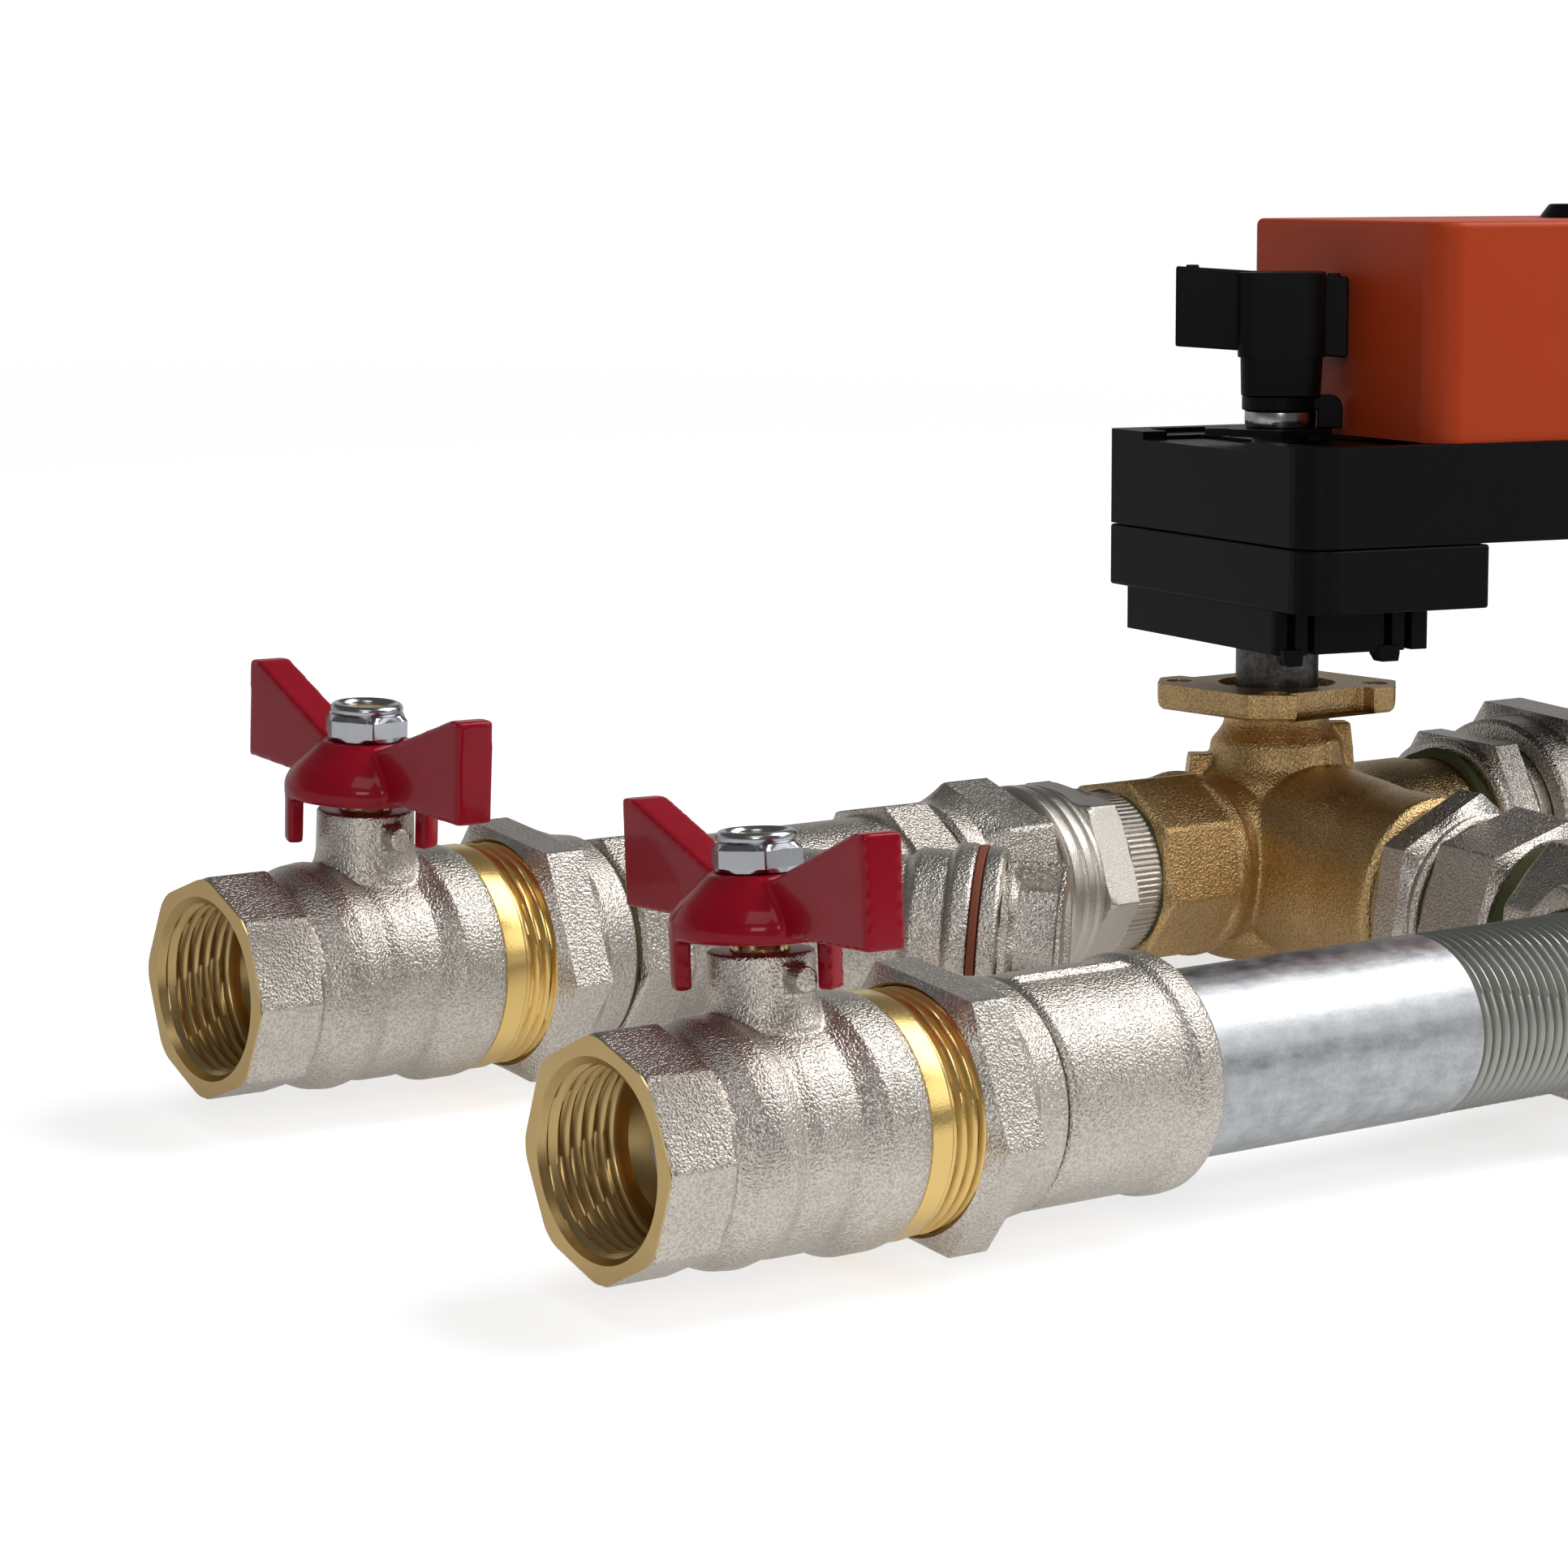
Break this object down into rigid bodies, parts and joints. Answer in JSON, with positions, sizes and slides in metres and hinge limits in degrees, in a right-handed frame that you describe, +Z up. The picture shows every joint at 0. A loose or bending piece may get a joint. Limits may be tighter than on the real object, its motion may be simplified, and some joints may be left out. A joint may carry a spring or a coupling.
{
  "type": "heating mixing unit",
  "caption": "Heating mixing unit with red handled ball valves, a strainer, a three way mixing valve with a rotary actuator, a bypass and a circulation pump.",
  "frame": {"origin": "centre of the return ball valve's mouth face", "axes": "+X along the pipes from the valve mouths to the heater, +Y from the return line to the supply line, +Z up along the stems"},
  "size_m": [0.572, 0.2129, 0.1674],
  "materials": {
    "return_valve_body": "blasted nickel plate",
    "return_valve_end": "machined",
    "return_ball": "polished",
    "return_ball_seats": "smooth",
    "return_stem": "machined",
    "return_stem_packing": "smooth",
    "return_handle": "glossy red enamel",
    "return_lock_nut": "zinc plated",
    "return_union_nut": "blasted nickel plate",
    "return_tailpiece": "blasted nickel plate",
    "return_pipe": "galvanised",
    "return_tee": "blasted nickel plate",
    "heater_return_pipe": "galvanised",
    "supply_valve_body": "blasted nickel plate",
    "supply_valve_end": "machined",
    "supply_ball": "polished",
    "supply_ball_seats": "smooth",
    "supply_stem": "machined",
    "supply_stem_packing": "smooth",
    "supply_handle": "glossy red enamel",
    "supply_lock_nut": "zinc plated",
    "supply_union_nut": "blasted nickel plate",
    "strainer_inlet_tail": "blasted nickel plate",
    "strainer_body": "blasted nickel plate",
    "strainer_screen": "plain",
    "strainer_gasket": "pressed fibre",
    "strainer_cap": "blasted nickel plate",
    "strainer_outlet_tail": "blasted nickel plate",
    "strainer_union_nut": "blasted nickel plate",
    "mixer_inlet_adaptor": "blasted nickel plate",
    "mixer_body": "cast and blasted",
    "mixer_ball": "polished",
    "mixer_seats": "smooth",
    "mixer_stem": "plain",
    "mixer_stem_seals": "smooth",
    "bypass_union_nut": "blasted nickel plate",
    "bypass_adaptor": "blasted nickel plate",
    "union_gaskets": "smooth",
    "pump_inlet_tail": "blasted nickel plate",
    "pump_inlet_nut": "blasted nickel plate",
    "pump_casing": "painted",
    "pump_motor_housing": "painted",
    "pump_shaft": "plain",
    "pump_impeller": "smooth",
    "pump_control_box": "satin",
    "pump_screws": "zinc plated",
    "pump_outlet_nut": "blasted nickel plate",
    "heater_supply_tail": "blasted nickel plate",
    "actuator_pillar": "plain",
    "actuator_adaptor": "satin",
    "actuator_base": "satin",
    "actuator_cover": "semi gloss",
    "actuator_motor": "plain",
    "actuator_pinion": "plain",
    "actuator_idler_gear": "smooth",
    "actuator_drive_gear": "smooth",
    "actuator_indicator": "satin",
    "actuator_clamp": "zinc plated",
    "actuator_knob": "satin",
    "release_button": "satin"
  },
  "bodies": {
    "frame": {"return_valve_body": "return_valve_body", "return_valve_end": "return_valve_end", "return_ball_seats": "return_ball_seats", "return_stem_packing": "return_stem_packing", "return_union_nut": "return_union_nut", "return_tailpiece": "return_tailpiece", "return_pipe": "return_pipe", "return_tee": "return_tee", "heater_return_pipe": "heater_return_pipe", "supply_valve_body": "supply_valve_body", "supply_valve_end": "supply_valve_end", "supply_ball_seats": "supply_ball_seats", "supply_stem_packing": "supply_stem_packing", "supply_union_nut": "supply_union_nut", "strainer_inlet_tail": "strainer_inlet_tail", "strainer_body": "strainer_body", "strainer_screen": "strainer_screen", "strainer_gasket": "strainer_gasket", "strainer_cap": "strainer_cap", "strainer_outlet_tail": "strainer_outlet_tail", "strainer_union_nut": "strainer_union_nut", "mixer_inlet_adaptor": "mixer_inlet_adaptor", "mixer_body": "mixer_body", "mixer_seats": "mixer_seats", "mixer_stem_seals": "mixer_stem_seals", "bypass_union_nut": "bypass_union_nut", "bypass_adaptor": "bypass_adaptor", "union_gaskets": "union_gaskets", "pump_inlet_tail": "pump_inlet_tail", "pump_inlet_nut": "pump_inlet_nut", "pump_casing": "pump_casing", "pump_motor_housing": "pump_motor_housing", "pump_control_box": "pump_control_box", "pump_screws": "pump_screws", "pump_outlet_nut": "pump_outlet_nut", "heater_supply_tail": "heater_supply_tail", "actuator_pillar": "actuator_pillar", "actuator_adaptor": "actuator_adaptor", "actuator_base": "actuator_base", "actuator_cover": "actuator_cover", "actuator_motor": "actuator_motor"},
    "return_handle_turning": {"return_handle": "return_handle", "return_lock_nut": "return_lock_nut", "return_stem": "return_stem", "return_ball": "return_ball"},
    "supply_handle_turning": {"supply_handle": "supply_handle", "supply_lock_nut": "supply_lock_nut", "supply_stem": "supply_stem", "supply_ball": "supply_ball"},
    "mixer_spindle": {"mixer_ball": "mixer_ball", "mixer_stem": "mixer_stem", "actuator_drive_gear": "actuator_drive_gear", "actuator_indicator": "actuator_indicator", "actuator_clamp": "actuator_clamp", "actuator_knob": "actuator_knob"},
    "idler_gear": {"actuator_idler_gear": "actuator_idler_gear"},
    "motor_pinion": {"actuator_pinion": "actuator_pinion"},
    "release_button": {"release_button": "release_button"},
    "pump_rotor": {"pump_shaft": "pump_shaft", "pump_impeller": "pump_impeller"}
  },
  "joints": [
    {"name": "return_valve", "type": "hinge", "parent": "frame", "child": "return_handle_turning", "pos_m": [0.0341, 0, 0], "axis": [0, 0.1271, 0.9919], "range_deg": [0, 90]},
    {"name": "supply_valve", "type": "hinge", "parent": "frame", "child": "supply_handle_turning", "pos_m": [0.0341, 0.125, 0], "axis": [0, 0.0244, 0.9997], "range_deg": [0, 90]},
    {"name": "mixer", "type": "hinge", "parent": "frame", "child": "mixer_spindle", "pos_m": [0.2659, 0.125, 0], "axis": [0, 0.0767, 0.9971], "range_deg": [-90, 0]},
    {"name": "idler", "type": "hinge", "parent": "frame", "child": "idler_gear", "pos_m": [0.29753, 0.11801, 0.00054], "axis": [0, 0.0767, 0.9971], "range_deg": [0, 72]},
    {"name": "pinion", "type": "hinge", "parent": "frame", "child": "motor_pinion", "pos_m": [0.32126, 0.11276, 0.00094], "axis": [0, 0.0767, 0.9971], "range_deg": [-206, 0]},
    {"name": "release", "type": "slide", "parent": "frame", "child": "release_button", "axis": [0, 0.0767, 0.9971], "range_m": [-0.003, 0], "stiffness_N_per_m": 400, "springref_m": 0.0005},
    {"name": "pump", "type": "hinge", "parent": "frame", "child": "pump_rotor", "pos_m": [0.4356, 0.125, 0], "axis": [0, 0, 1], "continuous": true}
  ],
  "couplings": [
    {"joint": "idler", "follows": "mixer", "ratio": -0.8},
    {"joint": "pinion", "follows": "mixer", "ratio": 2.2857}
  ]
}
